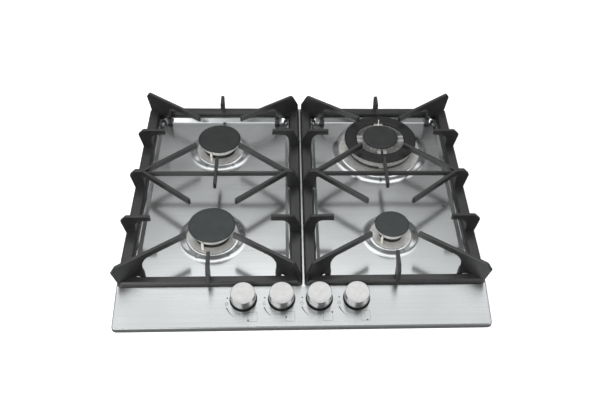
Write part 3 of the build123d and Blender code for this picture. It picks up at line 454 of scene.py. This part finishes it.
# the cast supports have softly broken edges
castEdge = {"weld": 0.01, "width": 0.7, "segments": 2, "sharpAngle": 35}
for name in ("grate_left", "grate_right"):
    weld = nodes[name].modifiers.new("weld", "WELD")
    weld.merge_threshold = castEdge["weld"] * mm
    edge = nodes[name].modifiers.new("edge", "BEVEL")
    edge.width = castEdge["width"] * mm
    edge.segments = castEdge["segments"]
    edge.limit_method = "ANGLE"
    edge.angle_limit = math.radians(castEdge["sharpAngle"])
    edge.harden_normals = True
    edge.use_clamp_overlap = True


def addObject(name, data):
    thing = bpy.data.objects.new(name, data)
    bpy.context.scene.collection.objects.link(thing)
    return thing


# a turned piece is an outline of radius and height carried once round its axis:
# x = radius * cos(angle), y = radius * sin(angle), z = height, then leant and moved to its foot
turnedSpec = {"segments": 128, "seam": 0.002}


def turned(name, outline, foot, lean, material, sharpAngle=32):
    # foot of the axis in mm, lean of the axis towards the user in radians
    outline = np.asarray(outline, float)
    count = turnedSpec["segments"]
    angle = np.linspace(0, 2 * np.pi, count, endpoint=False)
    px = outline[None, :, 0] * np.cos(angle)[:, None]
    py = outline[None, :, 0] * np.sin(angle)[:, None]
    pz = np.broadcast_to(outline[None, :, 1], px.shape)
    cs, sn = math.cos(lean), math.sin(lean)
    points = np.stack([px, py * cs - pz * sn, py * sn + pz * cs], -1).reshape(-1, 3)
    points = (points + np.asarray(foot)) * mm
    rows = len(outline)
    i = np.arange(count)[:, None]
    j = np.arange(rows - 1)[None, :]
    n = (i + 1) % count
    faces = np.stack([i * rows + j, i * rows + j + 1, n * rows + j + 1, n * rows + j], -1).reshape(-1, 4)
    mesh = bpy.data.meshes.new(name)
    mesh.from_pydata(points.tolist(), [], faces.tolist())
    mesh.materials.append(material)
    mesh.validate()
    mesh.polygons.foreach_set("use_smooth", np.ones(len(mesh.polygons), bool))
    mesh.set_sharp_from_angle(angle=math.radians(sharpAngle))
    thing = addObject(name, mesh)
    seam = thing.modifiers.new("seam", "WELD")
    seam.merge_threshold = turnedSpec["seam"] * mm
    return thing


# the control strip rises from the front edge of the sheet towards the fields
controlStrip = {"frontY": -262.5, "frontZ": 9.5, "lean": math.radians(13.4487)}

# knobs: turned from satin bar, flat top with a broken edge, side widening a little to a hollow foot
knobShape = {
    "outline": (
        (0.0, 22.1), (9.0, 22.12), (18.128, 22.2), (18.643, 22.15), (19.0035, 21.9), (19.158, 21.5),
        (19.776, 12.0), (20.3425, 3.9), (20.188, 3.55), (19.879, 3.4), (17.51, 3.4), (17.51, 15.0),
        (6.6, 15.0), (6.6, 6.0), (4.05, 6.0), (4.05, 16.5), (0.0, 16.5),
    ),
    "x": (-95.0, -35.0, 24.5, 83.5),
    "upStrip": 48.0,
}
# black dish below each knob: a raised lip that the pushed knob goes over, and a thin black rim past the
# knob's foot that is a painted shadow under the knob's edge
dishShape = {
    "outline": (
        (0.0, 0.05), (21.5, 0.05), (21.7, 0.12), (21.6, 0.3), (17.3, 0.35), (17.2, 2.2), (16.8, 2.4),
        (16.4, 2.2), (16.2, 0.9), (6.2, 0.9), (6.2, 0.6), (0.0, 0.6),
    ),
}
for number, x in enumerate(knobShape["x"], 1):
    lean = controlStrip["lean"]
    foot = (
        x,
        controlStrip["frontY"] + knobShape["upStrip"] * math.cos(lean),
        controlStrip["frontZ"] + knobShape["upStrip"] * math.sin(lean),
    )
    knob = turned("knob_turned_%d" % number, knobShape["outline"], foot, lean, knobMetal)
    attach(knob, "control_%d" % number)
    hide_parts("knob_%d" % number)
    # the dish's black rim past the knob's foot is a painted shadow
    dish = turned("dial_dish_%d" % number, dishShape["outline"], foot, lean, plastic)
    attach(dish, "cooktop")
    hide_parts("knob_seal_%d" % number)
print("knobs turned")

# raised seats round the burners: domed top, soft shoulder, slope, wide soft foot running into the field
# shoulder and foot are arcs: turn t of the arc gives centre + radius * (sin t, cos t)
# the top rises inwards: height = dome * share of the way in ** domePower
seatSpec = {
    "base": 20.0,
    "rise": 5.0,
    "shoulder": 10.0,
    "runOut": 15.0,
    "proud": 0.04,
    "dome": 1.2,
    "domePower": 1.6,
    "arcPoints": 14,
    "topPoints": 12,
    "outerLap": (0.3, 0.05),
    "innerLap": 0.5,
    "sharpAngle": 60,
    # x, y, inner radius, radius where the top ends and radius where the slope ends
    "places": {
        "fl": (-151.0, -82.0, 30.0, 45.0, 54.0),
        "rl": (-151.0, 140.0, 30.0, 45.0, 54.0),
        "fr": (151.0, -82.0, 21.0, 37.0, 46.0),
        "rr": (151.0, 140.0, 60.0, 79.0, 88.0),
    },
}
base, upper, lower = seatSpec["base"], seatSpec["shoulder"], seatSpec["runOut"]
high = base + seatSpec["rise"]
lap, sink = seatSpec["outerLap"]
for key, (x, y, inner, top, bottom) in seatSpec["places"].items():
    tilt = math.atan2(seatSpec["rise"], bottom - top)
    t = np.linspace(0, tilt, seatSpec["arcPoints"])
    shoulderStart = top - upper * math.tan(tilt / 2)
    footEnd = bottom + lower * math.tan(tilt / 2)
    r = np.linspace(inner, shoulderStart, seatSpec["topPoints"])[:-1]
    wayIn = (shoulderStart - r) / (shoulderStart - inner)
    flat = np.c_[r, high + seatSpec["dome"] * wayIn ** seatSpec["domePower"]]
    shoulder = np.c_[shoulderStart + upper * np.sin(t), high - upper * (1 - np.cos(t))]
    runOut = np.c_[footEnd - lower * np.sin(t[::-1]), base + lower * (1 - np.cos(t[::-1]))]
    surface = np.vstack([flat, shoulder, runOut])[::-1] + [0, seatSpec["proud"]]
    outline = np.vstack([[footEnd + lap, base - sink], surface, [inner, high - seatSpec["innerLap"]]])
    seat = turned("burner_seat_" + key, outline, (x, y, 0), 0.0, steel, seatSpec["sharpAngle"])
    # rows run from the outer lap inwards, so the top is the last ones: they take the dulled steel
    seat.data.materials.append(seatTop)
    rows = len(outline) - 1
    row = np.arange(len(seat.data.polygons)) % rows
    onTop = row >= rows - len(flat) - 1
    seat.data.polygons.foreach_set("material_index", onTop.astype(np.int32))
    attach(seat, "cooktop")
print("burner seats turned")

# printed marks beside each knob as thin strips of ink, in mm along the strip and up its slope
# half is half the width of a line, which a tapering line gives from start to end
marksSpec = {
    "x": (-95.0, -36.5, 22.7, 81.2),
    "height": 0.05,
    "sunk": 0.02,
    "dotPoints": 28,
    "offDot": {"place": (-25.2, 50.0), "radius": 0.65, "half": 0.62},
    "flame": {
        "place": (-26.0, 40.0),
        "wide": 2.0,
        "tall": 2.6,
        "pear": 0.25,
        "tip": 0.35,
        "half": 0.26,
        "points": 40,
    },
    "arc": {
        "degrees": (208.5, 243.5),
        "radius": 29.4,
        "grows": 3.1,
        "up": 48.0,
        "half": (0.95, 0.2),
        "points": 30,
    },
    # points on each side keep off the corners, which leaves those cut
    "square": {"x": (7.7, 22.0), "y": (10.0, 26.0), "half": 0.2, "share": (0.03, 0.97), "points": 6},
    "burnerDot": {"radius": 0.75, "half": 0.72},
    # where the dot of each knob's burner lies on its square
    "burners": ((8.2, 12.0), (8.3, 16.9), (21.5, 24.4), (17.5, 10.9)),
}


def inkStrip(line, halfWidth, closed):
    # a low box carried along the line: its corners are the line's point plus or minus the half width,
    # across the line's direction; both ends are closed by a face where the line is open
    line = np.asarray(line, float)
    halfWidth = np.broadcast_to(halfWidth, len(line))[:, None]
    step = np.roll(line, -1, 0) - np.roll(line, 1, 0) if closed else np.gradient(line, axis=0)
    step /= np.linalg.norm(step, axis=1)[:, None]
    across = halfWidth * np.c_[-step[:, 1], step[:, 0]]
    left, right = line + across, line - across
    top = np.full(len(line), marksSpec["height"])
    foot = np.full(len(line), -marksSpec["sunk"])
    corners = np.stack([np.c_[left, top], np.c_[right, top], np.c_[right, foot], np.c_[left, foot]], 1)
    n = len(line)
    a = np.arange(n if closed else n - 1)[:, None]
    b = (a + 1) % n
    c = np.arange(4)[None, :]
    d = (c + 1) % 4
    faces = np.stack([a * 4 + d, a * 4 + c, b * 4 + c, b * 4 + d], -1).reshape(-1, 4)
    if not closed:
        ends = [[0, 1, 2, 3], [4 * n - 1, 4 * n - 2, 4 * n - 3, 4 * n - 4]]
        faces = np.vstack([faces, ends])
    return corners.reshape(-1, 3), faces


def circle(place, radius):
    t = np.linspace(0, 2 * np.pi, marksSpec["dotPoints"], endpoint=False)
    return np.c_[place[0] + radius * np.cos(t), place[1] + radius * np.sin(t)]


def flameLine(spec):
    # pear shape: x = wide * sin t * (1 + pear * cos t), y = -tall * cos t + tip * cos 2t
    t = np.linspace(0, 2 * np.pi, spec["points"], endpoint=False)
    x = spec["place"][0] + spec["wide"] * np.sin(t) * (1 + spec["pear"] * np.cos(t))
    y = spec["place"][1] - spec["tall"] * np.cos(t) + spec["tip"] * np.cos(2 * t)
    return np.c_[x, y]


def arcLine(spec):
    # spiral round the knob: the radius grows evenly while the strip thins
    t = np.linspace(0, 1, spec["points"])
    start, end = spec["degrees"]
    angle = np.radians(start + (end - start) * t)
    radius = spec["radius"] + spec["grows"] * t
    wide, thin = spec["half"]
    line = np.c_[radius * np.cos(angle), spec["up"] + radius * np.sin(angle)]
    return line, wide + (thin - wide) * t


def squareLine(spec):
    (x0, x1), (y0, y1) = spec["x"], spec["y"]
    corners = np.array([[x0, y0], [x1, y0], [x1, y1], [x0, y1]])
    shares = np.linspace(*spec["share"], spec["points"])[None, :, None]
    sides = np.roll(corners, -1, 0) - corners
    return (corners[:, None] + sides[:, None] * shares).reshape(-1, 2)


def marksOf(spec, burner):
    # each mark as its line, its half width and whether it closes
    offDot, burnerDot = spec["offDot"], spec["burnerDot"]
    return (
        (circle(offDot["place"], offDot["radius"]), offDot["half"], True),
        (flameLine(spec["flame"]), spec["flame"]["half"], True),
        (*arcLine(spec["arc"]), False),
        (squareLine(spec["square"]), spec["square"]["half"], True),
        (circle(burner, burnerDot["radius"]), burnerDot["half"], True),
    )


markPoints, markFaces, markCount = [], [], 0
for x, burner in zip(marksSpec["x"], marksSpec["burners"]):
    for line, half, closed in marksOf(marksSpec, burner):
        points, faces = inkStrip(line, half, closed)
        markPoints.append(points + [x, 0, 0])
        markFaces.append(faces + markCount)
        markCount += len(points)
along, up, out = np.vstack(markPoints).T
cs, sn = math.cos(controlStrip["lean"]), math.sin(controlStrip["lean"])
placed = np.c_[
    along,
    controlStrip["frontY"] + up * cs - out * sn,
    controlStrip["frontZ"] + up * sn + out * cs,
] * mm
mesh = bpy.data.meshes.new("dial_marks")
mesh.from_pydata(placed.tolist(), [], np.vstack(markFaces).tolist())
mesh.materials.append(ink)
marks = addObject("dial_marks", mesh)
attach(marks, "cooktop")
print("dial marks:", len(mesh.polygons), "faces")

# worktop level: a pale floor with the opening that the hob is let into
floorSpec = {
    "reach": 5.0,
    "openX": 0.28,
    "openY": 0.245,
    "colour": "f4f4f4",
    "bounce": "5c5c5c",
    "lift": 0.42,
    "rough": 0.9,
}
outer, openX, openY = floorSpec["reach"], floorSpec["openX"], floorSpec["openY"]
corners = [(-1, -1), (1, -1), (1, 1), (-1, 1)]
points = [(sx * outer, sy * outer, 0) for sx, sy in corners]
points += [(sx * openX, sy * openY, 0) for sx, sy in corners]
mesh = bpy.data.meshes.new("floor")
mesh.from_pydata(points, [], [(i, (i + 1) % 4, 4 + (i + 1) % 4, 4 + i) for i in range(4)])
floor = addObject("floor", mesh)
# matt white floor: a little lifted for the camera so that it reads as paper white, shadow kept
floorMaterial, tree, shader, place = startMaterial("floor_matt_white")
shader.inputs["Roughness"].default_value = floorSpec["rough"]
shader.inputs["Emission Color"].default_value = (1, 1, 1, 1)
seen = addNode(tree, "ShaderNodeLightPath").outputs["Is Camera Ray"]
lifted = calculated(tree, "MULTIPLY", seen, floorSpec["lift"])
tree.links.new(lifted, shader.inputs["Emission Strength"])
whiteness = tinted(tree, seen, floorSpec["bounce"], floorSpec["colour"])
tree.links.new(whiteness, shader.inputs["Base Color"])
mesh.materials.append(floorMaterial)

# studio room that the steel mirrors; every pair is a place on the ramp and its brightness
roomSpec = {
    # over the top from the back horizon to the front horizon
    "over": (
        (0.0, 0.2), (0.1, 0.2), (0.16, 0.11), (0.2, 0.09), (0.228, 0.085), (0.248, 0.062), (0.266, 0.125),
        (0.284, 0.6), (0.3, 0.74), (0.325, 0.58), (0.35, 0.46), (0.4, 0.47), (0.43, 0.57), (0.45, 0.54),
        (0.48, 0.34), (0.51, 0.05), (0.62, 0.03), (0.8, 0.06), (0.9, 0.15), (1.0, 0.18),
    ),
    # two tall soft boxes either side of the camera: height runs from the horizon to straight up
    "height": ((0.0, 0.0), (0.27, 0.0), (0.36, 1.0), (0.6, 1.0), (0.66, 0.0), (1.0, 0.0)),
    # once round from the camera by the left, the back and the right: dark gap at the camera,
    # thin gap at the right
    "round": (
        (0.0, 0.04), (0.02, 0.04), (0.034, 0.8), (0.2, 0.8), (0.225, 0.1), (0.3, 0.0), (0.7, 0.0),
        (0.76, 0.2), (0.779, 0.08), (0.81, 0.08), (0.817, 0.8), (0.882, 0.8), (0.895, 0.04), (1.0, 0.04),
    ),
    # the light behind the hob fades to both sides, from left to right over twice the reach;
    # it counts fully up to the second share of the way over, and from the first on not at all
    "across": (
        (0.0, 0.6), (0.2, 0.62), (0.27, 0.7), (0.36, 1.0), (0.54, 1.0), (0.6, 0.86), (0.66, 0.9),
        (0.78, 0.56), (1.0, 0.45),
    ),
    "acrossReach": 0.4,
    "acrossFades": (0.36, 0.3),
    # the light overhead is long and narrow: it falls to the trim level at the sides of steep rays
    "trim": (0.34, 0.5),
    "trimLevel": 0.12,
    "trimClimb": (0.6, 0.7),
    "strength": 3.0,
}


def rampOf(tree, value, stops, kind="LINEAR"):
    node = addNode(tree, "ShaderNodeValToRGB", None, {0: value})
    node.color_ramp.interpolation = kind
    for position, level in stops[1:-1]:
        node.color_ramp.elements.new(position)
    for stop, (position, level) in zip(node.color_ramp.elements, stops):
        stop.position = position
        stop.color = (level, level, level, 1)
    return node.outputs["Color"]


def layered(tree, kind, below, above, amount=None):
    # kind is MULTIPLY or ADD, at full strength unless an amount is linked
    links = {6: below, 7: above}
    if amount is not None:
        links[0] = amount
    settings = {"data_type": "RGBA", "blend_type": kind, 0: 1.0}
    return addNode(tree, "ShaderNodeMix", settings, links).outputs[2]


world = bpy.data.worlds.new("studio")
bpy.context.scene.world = world
world.use_nodes = True
tree = world.node_tree
tree.nodes.clear()
direction = addNode(tree, "ShaderNodeTexCoord").outputs["Generated"]
heading = addNode(tree, "ShaderNodeSeparateXYZ", None, {0: direction})
x, y, z = (heading.outputs[axis] for axis in "XYZ")
overShare = calculated(tree, "DIVIDE", calculated(tree, "ARCTAN2", z, y), math.pi)
over = rampOf(tree, overShare, roomSpec["over"], "B_SPLINE")
reach = roomSpec["acrossReach"]
across = rampOf(tree, spread(tree, x, 0, 1, -reach, reach), roomSpec["across"])
behind = layered(tree, "MULTIPLY", over, across, spread(tree, overShare, 0, 1, *roomSpec["acrossFades"]))
narrow = spread(tree, calculated(tree, "ABSOLUTE", x), 1, roomSpec["trimLevel"], *roomSpec["trim"])
trimmed = layered(tree, "MULTIPLY", behind, narrow, spread(tree, z, 0, 1, *roomSpec["trimClimb"]))
roundShare = spread(tree, calculated(tree, "ARCTAN2", x, y), 0, 1, -math.pi, math.pi)
heightShare = calculated(tree, "DIVIDE", calculated(tree, "ARCSINE", z), math.pi / 2)
boxes = layered(
    tree,
    "MULTIPLY",
    rampOf(tree, roundShare, roomSpec["round"]),
    rampOf(tree, heightShare, roomSpec["height"]),
)
brightness = layered(tree, "ADD", trimmed, boxes)
room = addNode(tree, "ShaderNodeBackground", {"Strength": roomSpec["strength"]}, {"Color": brightness})
white = addNode(tree, "ShaderNodeBackground", {"Color": (1, 1, 1, 1), "Strength": 1.0})
seen = addNode(tree, "ShaderNodeLightPath").outputs["Is Camera Ray"]
mixed = addNode(tree, "ShaderNodeMixShader", None, {0: seen, 1: room.outputs[0], 2: white.outputs[0]})
addNode(tree, "ShaderNodeOutputWorld", None, {"Surface": mixed.outputs[0]})

# the boxes' own light on matt surfaces; the steel mirrors the room's boxes instead of these
lightSpecs = (
    {
        "name": "softbox_front_left",
        "place": (-0.8, -1.15, 1.25),
        "aim": (0, -0.1, 0.03),
        "width": 0.8,
        "height": 0.6,
        "power": 16.0,
    },
    {
        "name": "softbox_front_right",
        "place": (0.75, -1.2, 1.2),
        "aim": (0, -0.1, 0.03),
        "width": 0.6,
        "height": 0.6,
        "power": 9.5,
    },
)
for spec in lightSpecs:
    data = bpy.data.lights.new(spec["name"], "AREA")
    data.shape = "RECTANGLE"
    data.size, data.size_y = spec["width"], spec["height"]
    data.energy = spec["power"]
    lamp = addObject(spec["name"], data)
    lamp.location = spec["place"]
    lamp.visible_glossy = False
    towards = Vector(spec["aim"]) - Vector(spec["place"])
    lamp.rotation_euler = towards.to_track_quat("-Z", "Y").to_euler()
print("stage and lights ready")

# camera solved from the photo: turned a little to the right, looking down, rolled a little to the left
cameraSpec = {
    "place": (-0.02702, -0.96098, 0.97598),
    "yaw": -0.079475,
    "pitch": 0.776294,
    "roll": 0.051283,
    "lens": 45.662,
    "sensor": 36.0,
    "shift": (-0.04908, -0.00262),
}
data = bpy.data.cameras.new("camera")
data.lens = cameraSpec["lens"]
data.sensor_width = cameraSpec["sensor"]
data.shift_x, data.shift_y = cameraSpec["shift"]
camera = addObject("camera", data)
camera.location = cameraSpec["place"]
yaw = Matrix.Rotation(cameraSpec["yaw"], 3, "Z")
tilted = Matrix.Rotation(math.pi / 2 - cameraSpec["pitch"], 3, "X")
roll = Matrix.Rotation(cameraSpec["roll"], 3, "Z")
camera.rotation_euler = (yaw @ tilted @ roll).to_euler()
bpy.context.scene.camera = camera
bpy.context.scene.view_settings.view_transform = "Standard"
